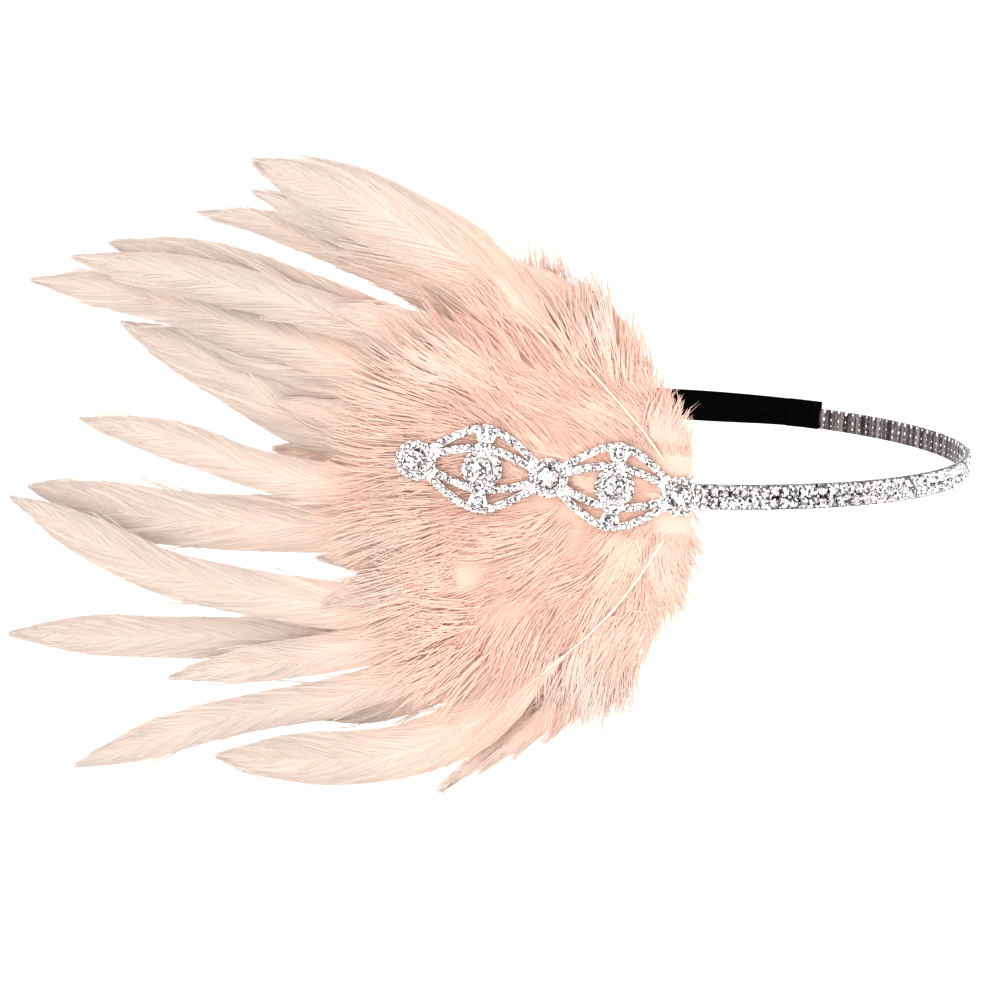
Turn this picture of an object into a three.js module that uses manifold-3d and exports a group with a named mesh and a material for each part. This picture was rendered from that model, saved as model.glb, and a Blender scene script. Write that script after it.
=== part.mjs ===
// Flapper feather headband: a loop of two rows of clear crystals, closed by a black elastic at the far
// side, with a plume of pale peach hackle feathers and down on one side of the head and a pierced silver
// applique of crystals lying on the plume.
//
// Millimetres, +Z up. The origin is the middle of the loop. +X points to the forehead, -Y to the side of
// the head that wears the plume.
import * as THREE from "three";
import { mergeVertices } from "three/addons/utils/BufferGeometryUtils.js";
import Module from "manifold-3d";

const wasm = await Module();
wasm.setup();

// Head loop: the oval on which the band's crystals are seated
const loopHalfLength = 98.6;
const loopHalfWidth = 73.8;
const clearance = 0.3;

// Band of crystals
const bandHeight = 7;
const bandBacking = 1;
const crystalRise = 1.2;
const crystalPitch = 3.2;
const crystalTable = 1.9;
const crystalRows = 2;

// Elastic: the ends are folded and sewn over the band's bare tabs
const strapLength = 112;
const strapHeight = 10.3;
const strapCloth = 1;
const strapEndHeight = 9.2;
const tabLength = 9;
const tabHeight = 5;
const hemLength = 3;

// Applique: five clusters in a row, joined by two lozenges of strands
const clusterCount = 5;
const clusterPitch = 18.15;
const haloRadius = 5.5;
const haloWall = 2;
const plateThickness = 0.8;
const strandWidth = 2;
const strandRise = 1.5;
const outerPeak = 11.5;
const innerPeak = 5.9;
const strandRound = 1.6;
const linkWidth = 3.2;
const accentDrop = 2.1;
const accentRadius = 2;
const accentWall = 0.7;
const accentOffset = outerPeak - accentDrop;

// Applique's place: the first cluster sits over the band, and the row runs back and up from it
const appliqueForward = 17.8;
const appliqueLift = 1.3;
const appliqueTurn = THREE.MathUtils.degToRad(8);
const appliqueTilt = THREE.MathUtils.degToRad(6.2);

// Stones of the clusters
const stoneCrown = 1.3;
const stoneGirdle = 0.3;
const stoneTableShare = 0.56;

// Plume
const plumeReach = 200;
const bindingThickness = 2.6;
const bindingRadius = 6.5;
const featherWidth = 30;
const featherThickness = 2.4;
const lockWidth = 34;
const lockThickness = 5;
const downBulge = 11;
const bulgeSlope = 14;
const featherCamber = 0.08;

// Shares of the plume's reach over which the swell of the down fades out, and shares of a leaf's length
// where its skin starts and ends. A leaf is widest where share ** leafSkew is a half.
const downFade = { from: 0.3, to: 0.7 };
const leafSkin = { from: 0.02, to: 0.99 };
const leafSkew = 0.7;
const leafFullness = 0.75;

// Straight steps along a curve
const strandSteps = 8;
const featherSteps = 7;
const lockSteps = 5;
const discSides = 14;
const clusterStoneSides = 10;
const accentSides = 8;
const ribbonStep = 5;

// Feathers of the plume. angle: degrees above the line that runs straight back from the root. reach:
// share of the plume's reach. bow: rise of the middle, a share of the feather's own length. width: share
// of the feather width. layer: 0 lies against the head, 1 at the front.
const feathers = [
  { angle: 35, reach: 0.74, bow: 0.11, width: 0.84, layer: 0.55 },
  { angle: 33, reach: 0.69, bow: 0.04, width: 0.62, layer: 0.1 },
  { angle: 27, reach: 0.75, bow: 0.06, width: 0.52, layer: 0.35 },
  { angle: 20.5, reach: 0.87, bow: 0.06, width: 0.8, layer: 0.7 },
  { angle: 15.2, reach: 0.95, bow: 0.035, width: 0.74, layer: 0.45 },
  { angle: 14, reach: 0.81, bow: -0.07, width: 0.72, layer: 0.15 },
  { angle: 3.7, reach: 0.86, bow: -0.04, width: 0.62, layer: 0.8 },
  { angle: -3, reach: 0.93, bow: -0.045, width: 0.95, layer: 0.3 },
  { angle: -4, reach: 0.96, bow: -0.15, width: 0.9, layer: 0.65 },
  { angle: -15, reach: 1, bow: -0.1, width: 0.66, layer: 0.4 },
  { angle: -23.6, reach: 0.8, bow: -0.065, width: 0.6, layer: 0.75 },
  { angle: -28, reach: 0.985, bow: -0.055, width: 0.62, layer: 0.5 },
  { angle: -32.7, reach: 0.69, bow: -0.1, width: 0.6, layer: 0.2 },
  { angle: -33, reach: 0.79, bow: -0.16, width: 0.74, layer: 0.6 },
];

// Locks of down round the feathers' roots, in the same columns
const downLocks = [
  { angle: 86, reach: 0.11, bow: 0, width: 0.36, layer: 0.6 },
  { angle: 79, reach: 0.18, bow: 0.05, width: 0.5, layer: 0.35 },
  { angle: 71, reach: 0.27, bow: 0.08, width: 0.68, layer: 0.75 },
  { angle: 63, reach: 0.36, bow: 0.07, width: 0.78, layer: 0.25 },
  { angle: 55, reach: 0.43, bow: 0.07, width: 0.82, layer: 0.7 },
  { angle: 45, reach: 0.5, bow: 0.06, width: 0.86, layer: 0.95 },
  { angle: 31, reach: 0.5, bow: 0.05, width: 0.88, layer: 0.9 },
  { angle: 17, reach: 0.52, bow: 0.03, width: 0.9, layer: 0.85 },
  { angle: -13, reach: 0.53, bow: -0.04, width: 0.9, layer: 0.85 },
  { angle: -27, reach: 0.54, bow: -0.06, width: 0.9, layer: 0.9 },
  { angle: -40, reach: 0.54, bow: -0.08, width: 0.86, layer: 0.95 },
  { angle: -51, reach: 0.55, bow: -0.06, width: 0.6, layer: 0.55 },
  { angle: -58, reach: 0.45, bow: -0.08, width: 0.74, layer: 0.7 },
  { angle: -67, reach: 0.38, bow: -0.08, width: 0.74, layer: 0.3 },
  { angle: -76, reach: 0.26, bow: -0.06, width: 0.62, layer: 0.7 },
  { angle: -86, reach: 0.15, bow: -0.03, width: 0.44, layer: 0.4 },
];

const silver = new THREE.MeshStandardMaterial({ color: "#cfccc8", roughness: 0.25, metalness: 1 });
const crystal = new THREE.MeshStandardMaterial({ color: "#f4f4f6", roughness: 0.05, metalness: 0 });
const blackElastic = new THREE.MeshStandardMaterial({ color: "#0c0b0c", roughness: 0.95, metalness: 0 });
const peachFeather = new THREE.MeshStandardMaterial({ color: "#f6ccb4", roughness: 0.9, metalness: 0 });

// A solid from a three.js geometry, and a named mesh from a solid
function solidOf(geometry) {
  const bare = geometry.clone();
  bare.deleteAttribute("normal");
  bare.deleteAttribute("uv");
  const merged = mergeVertices(bare, 1e-4);
  return new wasm.Manifold(
    new wasm.Mesh({
      numProp: 3,
      vertProperties: new Float32Array(merged.attributes.position.array),
      triVerts: new Uint32Array(merged.index.array),
    }),
  );
}

function meshOf(name, solid, material) {
  const faces = solid.getMesh();
  const geometry = new THREE.BufferGeometry();
  geometry.setAttribute("position", new THREE.BufferAttribute(faces.vertProperties, 3));
  geometry.setIndex(new THREE.BufferAttribute(faces.triVerts, 1));
  geometry.computeVertexNormals();
  const mesh = new THREE.Mesh(geometry, material);
  mesh.name = name;
  return mesh;
}

function join(solids) {
  return solids.reduce((whole, solid) => whole.add(solid));
}

// Hollows that the joined pieces close in on all sides are filled
function withoutHollows(solid) {
  return join(solid.decompose().filter((skin) => skin.volume() > 0));
}

// Flat faces with straight edges, given as lists of corners that run anticlockwise seen from outside
function solidOfFaces(faces) {
  const corners = [];
  for (const face of faces) {
    for (let i = 1; i < face.length - 1; i += 1) corners.push(face[0], face[i], face[i + 1]);
  }
  return solidOf(new THREE.BufferGeometry().setFromPoints(corners));
}

// A closed skin through sections of the same number of points, each anticlockwise seen from its end
function loft(sections) {
  const faces = [[...sections[0]].reverse(), sections[sections.length - 1]];
  for (let i = 1; i < sections.length; i += 1) {
    const before = sections[i - 1];
    const after = sections[i];
    before.forEach((corner, j) => {
      const next = (j + 1) % before.length;
      faces.push([corner, before[next], after[next]], [corner, after[next], after[j]]);
    });
  }
  return solidOfFaces(faces);
}

// The loop, measured along its oval from the forehead by way of the far side of the head
const loop = new THREE.EllipseCurve(0, 0, loopHalfLength, loopHalfWidth);
loop.arcLengthDivisions = 720;
const loopLength = loop.getLength();
const strapFrom = (loopLength - 2 * strapLength) / 4;
const strapTo = strapFrom + strapLength;

function onLoop(arc, out, z) {
  const share = (arc / loopLength) % 1;
  const place = loop.getPointAt(share);
  const along = loop.getTangentAt(share);
  return new THREE.Vector3(place.x + along.y * out, place.y - along.x * out, z);
}

// A strip along the loop: inner and outer are distances out from the oval
function ribbon({ from, to, inner, outer, low, high }) {
  const count = Math.ceil((to - from) / ribbonStep);
  const sections = [];
  for (let i = 0; i <= count; i += 1) {
    const arc = from + ((to - from) * i) / count;
    sections.push([
      onLoop(arc, inner, low),
      onLoop(arc, inner, high),
      onLoop(arc, outer, high),
      onLoop(arc, outer, low),
    ]);
  }
  return loft(sections);
}

// One seat of the band with its crystal: a square base that rises to an eight-sided table
function crystalFaces(corners, along, up, out) {
  const middle = new THREE.Vector3();
  corners.forEach((corner) => middle.addScaledVector(corner, 1 / corners.length));
  const half = crystalTable / 2;
  const cut = half * Math.tan(Math.PI / 8);
  const table = [
    [-half, -cut], [-cut, -half], [cut, -half], [half, -cut],
    [half, cut], [cut, half], [-cut, half], [-half, cut],
  ].map(([a, b]) =>
    middle.clone().addScaledVector(along, a).addScaledVector(up, b).addScaledVector(out, crystalRise),
  );
  const faces = [table];
  corners.forEach((corner, i) => {
    const next = corners[(i + 1) % corners.length];
    const first = table[2 * i];
    const second = table[2 * i + 1];
    const third = table[(2 * i + 2) % table.length];
    faces.push([corner, second, first], [corner, next, third, second]);
  });
  return faces;
}

// The band: a backing strip with a bare tab at each end, and columns of crystals between
function buildBand() {
  const from = strapTo;
  const length = loopLength - strapLength;
  const columns = Math.round(length / crystalPitch);
  const low = -bandHeight / 2;
  const rowHeight = bandHeight / crystalRows;
  const up = new THREE.Vector3(0, 0, 1);
  const faces = [];
  const levels = Array.from({ length: crystalRows + 1 }, (_, row) => low + row * rowHeight);
  const endFace = (arc) => [
    onLoop(arc, -bandBacking, low),
    onLoop(arc, -bandBacking, -low),
    ...[...levels].reverse().map((z) => onLoop(arc, 0, z)),
  ];
  for (let column = 0; column < columns; column += 1) {
    const start = from + (length * column) / columns;
    const end = from + (length * (column + 1)) / columns;
    const along = onLoop(end, 0, 0).sub(onLoop(start, 0, 0)).normalize();
    const out = new THREE.Vector3().crossVectors(along, up);
    for (let row = 0; row < crystalRows; row += 1) {
      const corners = [
        onLoop(start, 0, levels[row]),
        onLoop(end, 0, levels[row]),
        onLoop(end, 0, levels[row + 1]),
        onLoop(start, 0, levels[row + 1]),
      ];
      faces.push(...crystalFaces(corners, along, up, out));
    }
    for (const z of [low, -low]) {
      const edge = [
        onLoop(start, -bandBacking, z),
        onLoop(end, -bandBacking, z),
        onLoop(end, 0, z),
        onLoop(start, 0, z),
      ];
      faces.push(z < 0 ? edge : edge.reverse());
    }
    faces.push([
      onLoop(start, -bandBacking, -low),
      onLoop(end, -bandBacking, -low),
      onLoop(end, -bandBacking, low),
      onLoop(start, -bandBacking, low),
    ]);
  }
  faces.push([...endFace(from)].reverse(), endFace(from + length));
  const tab = { inner: -bandBacking, outer: 0, low: -tabHeight / 2, high: tabHeight / 2 };
  const overlap = bandBacking / 2;
  return join([
    solidOfFaces(faces),
    ribbon({ ...tab, from: from - tabLength, to: from + overlap }),
    ribbon({ ...tab, from: from + length - overlap, to: from + length + tabLength }),
  ]);
}

// The elastic: a plain strap whose two hemmed ends hold the band's tabs in a pocket
function buildStrap() {
  const middle = -bandBacking / 2;
  const pocket = bandBacking / 2 + clearance;
  const bottom = -bandHeight / 2;
  const strap = ribbon({
    from: strapFrom + tabLength,
    to: strapTo - tabLength,
    inner: middle - strapCloth / 2,
    outer: middle + strapCloth / 2,
    low: bottom,
    high: bottom + strapHeight,
  });
  const pieces = [strap];
  for (const side of [1, -1]) {
    const mouth = (side > 0 ? strapFrom : strapTo) + side * clearance;
    const tabEnd = (side > 0 ? strapFrom : strapTo) + side * (tabLength + clearance);
    const back = tabEnd + side * hemLength;
    const hem = ribbon({
      from: Math.min(mouth, back),
      to: Math.max(mouth, back),
      inner: middle - pocket - strapCloth,
      outer: middle + pocket + strapCloth,
      low: bottom,
      high: bottom + strapEndHeight,
    });
    const hollow = ribbon({
      from: Math.min(mouth - side * hemLength, tabEnd),
      to: Math.max(mouth - side * hemLength, tabEnd),
      inner: middle - pocket,
      outer: middle + pocket,
      low: -tabHeight / 2 - clearance,
      high: tabHeight / 2 + clearance,
    });
    pieces.push(hem.subtract(hollow));
  }
  return join(pieces);
}

// The applique's own frame: x towards its first cluster, y up, z out from the head, with z = 0 at the
// back of its plate
const bandFront = loopHalfWidth * Math.sqrt(1 - (appliqueForward / loopHalfLength) ** 2) + crystalRise;
const plateBack = bandFront + bindingThickness + 2 * clearance;
const applique = new THREE.Group();
applique.position.set(appliqueForward, -plateBack, appliqueLift);
applique.rotation.z = appliqueTurn;
const upright = new THREE.Group();
upright.rotation.x = Math.PI / 2;
const plate = new THREE.Group();
plate.rotation.z = -appliqueTilt;
applique.add(upright);
upright.add(plate);
applique.updateMatrixWorld(true);

const clusterX = (index) => -index * clusterPitch;
const lozenges = [1, 3];
const sides = [1, -1];

function disc(x, y, radius, from, to, segments = discSides) {
  const geometry = new THREE.CylinderGeometry(radius, radius, to - from, segments);
  geometry.rotateX(Math.PI / 2);
  geometry.translate(x, y, (from + to) / 2);
  return solidOf(geometry);
}

// An edge of a strand of the lozenge about cluster x, whose middle line rises from the row to its peak:
// offset is the edge's distance out from that line
function strandEdge(x, peak, side, offset) {
  const line = Array.from({ length: strandSteps + 1 }, (_, i) => {
    const share = (2 * i) / strandSteps - 1;
    const height = peak * (1 - Math.abs(share) ** strandRound);
    return new THREE.Vector2(x + share * clusterPitch, height);
  });
  return line.map((point, i) => {
    const before = line[Math.max(0, i - 1)];
    const after = line[Math.min(strandSteps, i + 1)];
    const along = after.clone().sub(before).normalize();
    return new THREE.Vector2(point.x - along.y * offset, side * (point.y + along.x * offset));
  });
}

function sheet(outline, from, to) {
  const shape = new THREE.Shape(outline);
  const geometry = new THREE.ExtrudeGeometry(shape, { depth: to - from, bevelEnabled: false });
  geometry.translate(0, 0, from);
  return solidOf(geometry);
}

function strand(x, peak, side) {
  const outer = strandEdge(x, peak, side, strandWidth / 2);
  const inner = strandEdge(x, peak, side, -strandWidth / 2);
  return sheet([...inner, ...outer.reverse()], 0, strandRise);
}

function block(x, y, width, height) {
  const geometry = new THREE.BoxGeometry(width, height, strandRise);
  geometry.translate(x, y, strandRise / 2);
  return solidOf(geometry);
}

// The applique's metalwork, cast in one piece and pierced between its strands
function buildSetting() {
  const solids = [];
  const seats = [];
  for (let index = 0; index < clusterCount; index += 1) {
    const x = clusterX(index);
    solids.push(disc(x, 0, haloRadius, 0, strandRise));
    seats.push(disc(x, 0, haloRadius - haloWall, plateThickness, 2 * strandRise));
  }
  for (const index of lozenges) {
    const x = clusterX(index);
    for (const side of sides) {
      solids.push(strand(x, outerPeak, side), strand(x, innerPeak, side));
      solids.push(block(x, (side * (haloRadius + outerPeak)) / 2, linkWidth, outerPeak - haloRadius));
      solids.push(disc(x, side * accentOffset, accentRadius + accentWall, 0, strandRise, accentSides));
      seats.push(disc(x, side * accentOffset, accentRadius, plateThickness, 2 * strandRise, accentSides));
    }
  }
  return seats.reduce((whole, seat) => whole.subtract(seat), join(solids));
}

// A foil-backed stone: pavilion, girdle, crown and table, turned about its own z
function stone(radius, segments) {
  const depth = strandRise - plateThickness - clearance;
  const profile = [
    [0, 0],
    [radius * stoneTableShare, 0],
    [radius, depth],
    [radius, depth + stoneGirdle],
    [radius * stoneTableShare, depth + stoneGirdle + stoneCrown * (radius / haloRadius)],
    [0, depth + stoneGirdle + stoneCrown * (radius / haloRadius)],
  ].map(([r, z]) => new THREE.Vector2(r, z));
  const geometry = new THREE.LatheGeometry(profile, segments);
  geometry.rotateX(Math.PI / 2);
  return solidOf(geometry);
}

function addStones() {
  const seat = plateThickness + clearance;
  for (let index = 0; index < clusterCount; index += 1) {
    const name = `cluster_stone_${index + 1}`;
    const mesh = meshOf(name, stone(haloRadius - haloWall - clearance, clusterStoneSides), crystal);
    mesh.position.set(clusterX(index), 0, seat);
    plate.add(mesh);
  }
  lozenges.forEach((index, pair) => {
    sides.forEach((side) => {
      const name = `accent_stone_${pair + 1}_${side > 0 ? "upper" : "lower"}`;
      const mesh = meshOf(name, stone(accentRadius - clearance, accentSides), crystal);
      mesh.position.set(clusterX(index), side * accentOffset, seat);
      plate.add(mesh);
    });
  });
}

// Room of the plume: its back lies flat beside the loop, and its front is the plane of the applique's
// back, swelled out all round the applique where the down is and fading towards the feathers' tips
const plumeBack = -(loopHalfWidth + crystalRise + clearance);
const root = new THREE.Vector3(appliqueForward, plumeBack - bindingThickness / 2, 0);
const plateNormal = new THREE.Vector3(0, 0, 1).transformDirection(plate.matrixWorld);
const plateOrigin = new THREE.Vector3(0, 0, -clearance).applyMatrix4(plate.matrixWorld);
const plateHalfLength = (clusterPitch * (clusterCount - 1)) / 2 + haloRadius;
const plateHalfHeight = outerPeak + strandWidth / 2;

function plateFrontY(x, z) {
  const along = plateNormal.x * (x - plateOrigin.x) + plateNormal.z * (z - plateOrigin.z);
  return plateOrigin.y - along / plateNormal.y;
}

function plumeFront(x, z) {
  const flat = Math.min(plateFrontY(x, z), plumeBack);
  const local = plate.worldToLocal(new THREE.Vector3(x, flat, z));
  const beyondX = Math.max(0, Math.abs(local.x + plateHalfLength - haloRadius) - plateHalfLength);
  const beyondY = Math.max(0, Math.abs(local.y) - plateHalfHeight);
  const beyond = Math.hypot(beyondX, beyondY);
  const swell = 1 - Math.exp(-beyond / bulgeSlope);
  const fadeFrom = plumeReach * downFade.from;
  const fade = 1 - THREE.MathUtils.smoothstep(root.x - x, fadeFrom, plumeReach * downFade.to);
  return flat - downBulge * swell * fade;
}

// One feather or lock: a bowed leaf that is thickest along its middle, in its own layer of the plume
function leaf(row, widest, thickest, steps) {
  const angle = THREE.MathUtils.degToRad(row.angle);
  const length = row.reach * plumeReach;
  const ahead = new THREE.Vector2(-Math.cos(angle), Math.sin(angle));
  const above = new THREE.Vector2(Math.sin(angle), Math.cos(angle));
  const sections = [];
  for (let i = 0; i <= steps; i += 1) {
    const share = THREE.MathUtils.lerp(leafSkin.from, leafSkin.to, i / steps);
    const rise = 4 * row.bow * share * (1 - share) * length;
    const slope = 4 * row.bow * (1 - 2 * share);
    const spread = Math.sin(Math.PI * share ** leafSkew) ** leafFullness;
    const half = (spread * row.width * widest) / 2;
    const thick = Math.max(clearance, (thickest / 2) * spread);
    const centre = new THREE.Vector2(root.x, root.z)
      .addScaledVector(ahead, share * length)
      .addScaledVector(above, rise);
    const across = above.clone().addScaledVector(ahead, -slope).normalize();
    const place = (side, front) => {
      const x = centre.x + across.x * half * side;
      const z = centre.y + across.y * half * side;
      const room = plumeBack - plumeFront(x, z);
      const held = Math.min(thick, room / 2);
      const depth = held + (room - 2 * held) * row.layer + held * front;
      const camber = Math.min(depth / 2, featherCamber * half * Math.abs(side));
      return new THREE.Vector3(x, plumeBack - depth + camber, z);
    };
    sections.push([place(1, 0), place(0, -1), place(-1, 0), place(0, 1)]);
  }
  return loft(sections);
}

// The bed that the applique presses into the down: its outline, from behind its plate outwards
function appliqueBed() {
  const front = downBulge + stoneCrown + strandRise;
  const discs = Array.from({ length: clusterCount }, (_, index) =>
    disc(clusterX(index), 0, haloRadius + clearance, -clearance, front),
  );
  const fields = lozenges.map((index) => {
    const grow = strandWidth / 2 + clearance;
    const upper = strandEdge(clusterX(index), outerPeak, 1, grow);
    const lower = strandEdge(clusterX(index), outerPeak, -1, grow);
    return sheet([...lower, ...upper.reverse()], -clearance, front);
  });
  return join([...discs, ...fields]).transform(plate.matrixWorld.toArray());
}

// The plume: feathers and locks of down, bound at the root in a flat knot glued to the band
function buildPlume() {
  const knot = new THREE.CylinderGeometry(bindingRadius, bindingRadius, bindingThickness, 16);
  knot.translate(root.x, root.y, root.z);
  const leaves = [
    ...feathers.map((row) => leaf(row, featherWidth, featherThickness, featherSteps)),
    ...downLocks.map((row) => leaf(row, lockWidth, lockThickness, lockSteps)),
  ];
  const plume = join([solidOf(knot), ...leaves]).subtract(appliqueBed());
  return withoutHollows(plume);
}

const headband = new THREE.Group();
headband.add(meshOf("rhinestone_band", buildBand(), crystal));
headband.add(meshOf("elastic_strap", buildStrap(), blackElastic));
headband.add(meshOf("feather_plume", buildPlume(), peachFeather));
plate.add(meshOf("applique_setting", buildSetting(), silver));
addStones();
headband.add(applique);

export default headband;
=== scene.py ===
import math
import random

import bmesh
import bpy
from mathutils import Matrix, Vector, noise


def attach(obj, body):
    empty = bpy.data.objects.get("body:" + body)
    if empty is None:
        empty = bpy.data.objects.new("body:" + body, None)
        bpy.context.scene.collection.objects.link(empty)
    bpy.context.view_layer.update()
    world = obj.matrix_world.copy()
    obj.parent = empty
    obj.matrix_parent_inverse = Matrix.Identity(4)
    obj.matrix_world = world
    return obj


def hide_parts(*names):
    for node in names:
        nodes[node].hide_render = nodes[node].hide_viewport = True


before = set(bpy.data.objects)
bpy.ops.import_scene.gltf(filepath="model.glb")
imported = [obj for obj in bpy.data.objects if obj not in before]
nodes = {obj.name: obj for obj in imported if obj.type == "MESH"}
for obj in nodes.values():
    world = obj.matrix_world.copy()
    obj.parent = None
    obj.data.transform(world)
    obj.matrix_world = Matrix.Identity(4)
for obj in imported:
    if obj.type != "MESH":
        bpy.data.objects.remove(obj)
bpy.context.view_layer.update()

# Camera: it stands on the plume's side of the head, a little to the front and above, and leans by
# a degree. Its long lens keeps the loop's far side near in size to the near side.
mm = 0.001
camera = bpy.data.objects.new("camera", bpy.data.cameras.new("camera"))
bpy.context.scene.collection.objects.link(camera)
camera.data.sensor_width = 36
camera.data.lens = 61.52
camera_place = Vector((53.6, -530.9, 104.4)) * mm
camera_turn = (
    Matrix.Rotation(math.radians(10.69), 4, "Z")
    @ Matrix.Rotation(math.radians(90 - 13.12), 4, "X")
    @ Matrix.Rotation(math.radians(1.21), 4, "Z")
)
camera.matrix_world = Matrix.Translation(camera_place) @ camera_turn
bpy.context.scene.camera = camera
bpy.context.scene.view_settings.view_transform = "Standard"

# Studio: a wide bowl of white seamless paper is floor and wall in one, so no edge shows behind the
# feathers. Four big softboxes and an even white surround light it, one of them from behind the
# feathers so that light comes through them.
floor_level = -0.30
bowl_radius = 1.7
bowl_bend = 0.6


def linear(code, alpha=1.0):
    """A hex sRGB colour as the linear values that a shader takes."""
    shares = [int(code[i : i + 2], 16) / 255 for i in (1, 3, 5)]
    return (*[s / 12.92 if s <= 0.04045 else ((s + 0.055) / 1.055) ** 2.4 for s in shares], alpha)


def add_node(material, kind, settings=None, **links):
    """Adds a node. Settings are its properties, inputs or ramp stops; links are inputs fed by outputs."""
    node = material.node_tree.nodes.new(kind)
    for name, value in (settings or {}).items():
        if name == "stops":
            stops = node.color_ramp.elements
            stops[0].position, stops[1].position = value[0][0], value[-1][0]
            for position, _ in value[1:-1]:
                stops.new(position)
            for stop, (_, code) in zip(stops, value):
                stop.color = linear(code)
        elif isinstance(name, int) or name in node.inputs:
            node.inputs[name].default_value = value
        else:
            setattr(node, name, value)
    for name, output in links.items():
        key = int(name[1:]) if name[0] == "i" and name[1:].isdigit() else name.replace("_", " ")
        material.node_tree.links.new(output, node.inputs[key])
    return node


def new_material(name):
    material = bpy.data.materials.new(name)
    material.use_nodes = True
    material.node_tree.nodes.clear()
    return material


def finish_material(material, surface):
    output = add_node(material, "ShaderNodeOutputMaterial")
    material.node_tree.links.new(surface, output.inputs["Surface"])
    return material


def new_piece(name, bm, material, smooth=False):
    """Makes an object of a bmesh that is already in place, in metres."""
    mesh = bpy.data.meshes.new(name)
    bm.to_mesh(mesh)
    bm.free()
    mesh.materials.append(material)
    mesh.polygons.foreach_set("use_smooth", [smooth] * len(mesh.polygons))
    piece = bpy.data.objects.new(name, mesh)
    bpy.context.scene.collection.objects.link(piece)
    return piece


# Seamless paper, matte: almost white, with a grain too faint to show as a pattern.
paper = new_material("seamless_paper")
coords = add_node(paper, "ShaderNodeTexCoord")
grain = add_node(paper, "ShaderNodeTexNoise", {"Scale": 40.0, "Detail": 3.0},
                 Vector=coords.outputs["Object"])
tint = add_node(paper, "ShaderNodeValToRGB", {"stops": ((0, "#FBFBFB"), (1, "#FEFEFE"))},
                Fac=grain.outputs["Fac"])
surface = add_node(paper, "ShaderNodeBsdfPrincipled", {"Roughness": 1.0, "Specular IOR Level": 0.0},
                   Base_Color=tint.outputs["Color"])
finish_material(paper, surface.outputs[0])

bm = bmesh.new()
rim = [Vector((0, 0, floor_level)), Vector((bowl_radius - bowl_bend, 0, floor_level))]
for step in range(1, 9):
    turn = math.radians(90) * step / 8
    rim.append(Vector((bowl_radius - bowl_bend + bowl_bend * math.sin(turn), 0,
                       floor_level + bowl_bend * (1 - math.cos(turn)))))
rim.append(Vector((bowl_radius, 0, floor_level + 1.5)))
line = [bm.verts.new(point) for point in rim]
edges = [bm.edges.new(pair) for pair in zip(line, line[1:])]
bmesh.ops.spin(bm, geom=line + edges, cent=(0, 0, 0), axis=(0, 0, 1), angle=math.tau, steps=48,
               use_merge=True)
bmesh.ops.remove_doubles(bm, verts=bm.verts, dist=1e-5)
bmesh.ops.recalc_face_normals(bm, faces=bm.faces)
bmesh.ops.reverse_faces(bm, faces=bm.faces)
backdrop = new_piece("backdrop", bm, paper, smooth=True)


def softbox(name, place, aim, size, power, colour):
    data = bpy.data.lights.new(name, "AREA")
    data.shape = "RECTANGLE"
    data.size, data.size_y = size
    data.energy = power
    data.color = linear(colour)[:3]
    lamp = bpy.data.objects.new(name, data)
    bpy.context.scene.collection.objects.link(lamp)
    lamp.location = place
    lamp.rotation_euler = (Vector(aim) - Vector(place)).to_track_quat("-Z", "Y").to_euler()


softbox("key_softbox", (-0.55, -0.95, 0.95), (-0.02, -0.05, 0), (0.8, 0.8), 9, "#FFFDFB")
softbox("front_softbox", (-0.2, -1.3, 0.05), (-0.04, -0.05, 0), (1.2, 1.2), 16, "#FFFFFF")
softbox("rear_softbox", (-0.3, 1.15, 0.75), (-0.04, 0, 0), (1.0, 1.0), 5.5, "#FFFFFF")
softbox("fill_softbox", (0.95, -0.75, 0.35), (0, 0, 0), (0.8, 0.8), 2.5, "#FBFDFF")
world = bpy.data.worlds.new("studio_surround")
world.use_nodes = True
world.node_tree.nodes["Background"].inputs["Color"].default_value = linear("#FFFFFF")
world.node_tree.nodes["Background"].inputs["Strength"].default_value = 1.05
bpy.context.scene.world = world

# Band: two rows of round foil-backed crystals, each held by four claws in a plated brass cup, on a
# 7 mm strip of metal mesh. It is modelled flat and then bent round the head's oval.
loop_half_length = 98.6
loop_half_width = 73.8
strap_length = 112.0
band_height = 7.0
stone_pitch = 2.8
stone_radius = 1.38
stone_rise = 1.2
row_offset = 1.6
claw_level = 0.62
mesh_level = -0.62
tab_length = 9.0
tab_height = 5.0
tab_hidden = 0.5

oval = [Vector((loop_half_length * math.cos(a), loop_half_width * math.sin(a), 0))
        for a in (math.tau * i / 4000 for i in range(4001))]
oval_arcs = [0.0]
for before, after in zip(oval, oval[1:]):
    oval_arcs.append(oval_arcs[-1] + (after - before).length)
loop_length = oval_arcs[-1]
strap_from = (loop_length - 2 * strap_length) / 4
strap_to = strap_from + strap_length
band_length = loop_length - strap_length


def on_loop(arc, height, out):
    """The point at that distance round the oval from the forehead, in metres."""
    arc = arc % loop_length
    low, high = 0, len(oval_arcs) - 1
    while high - low > 1:
        middle = (low + high) // 2
        low, high = (middle, high) if oval_arcs[middle] <= arc else (low, middle)
    share = (arc - oval_arcs[low]) / (oval_arcs[high] - oval_arcs[low])
    place = oval[low].lerp(oval[high], share)
    normal = Vector((place.x / loop_half_length**2, place.y / loop_half_width**2, 0)).normalized()
    return (place + normal * out + Vector((0, 0, height))) * mm


def bend_round_head(bm):
    """Bends a strip laid flat, with x along the loop, y up and z outwards, in millimetres."""
    for vert in bm.verts:
        vert.co = on_loop(*vert.co)


def place_copies(bm, shape, places):
    """Adds a copy of a small mesh for each matrix."""
    for place in places:
        known = len(bm.verts)
        bm.from_mesh(shape)
        bm.verts.ensure_lookup_table()
        bmesh.ops.transform(bm, matrix=place, verts=bm.verts[known:])


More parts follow.
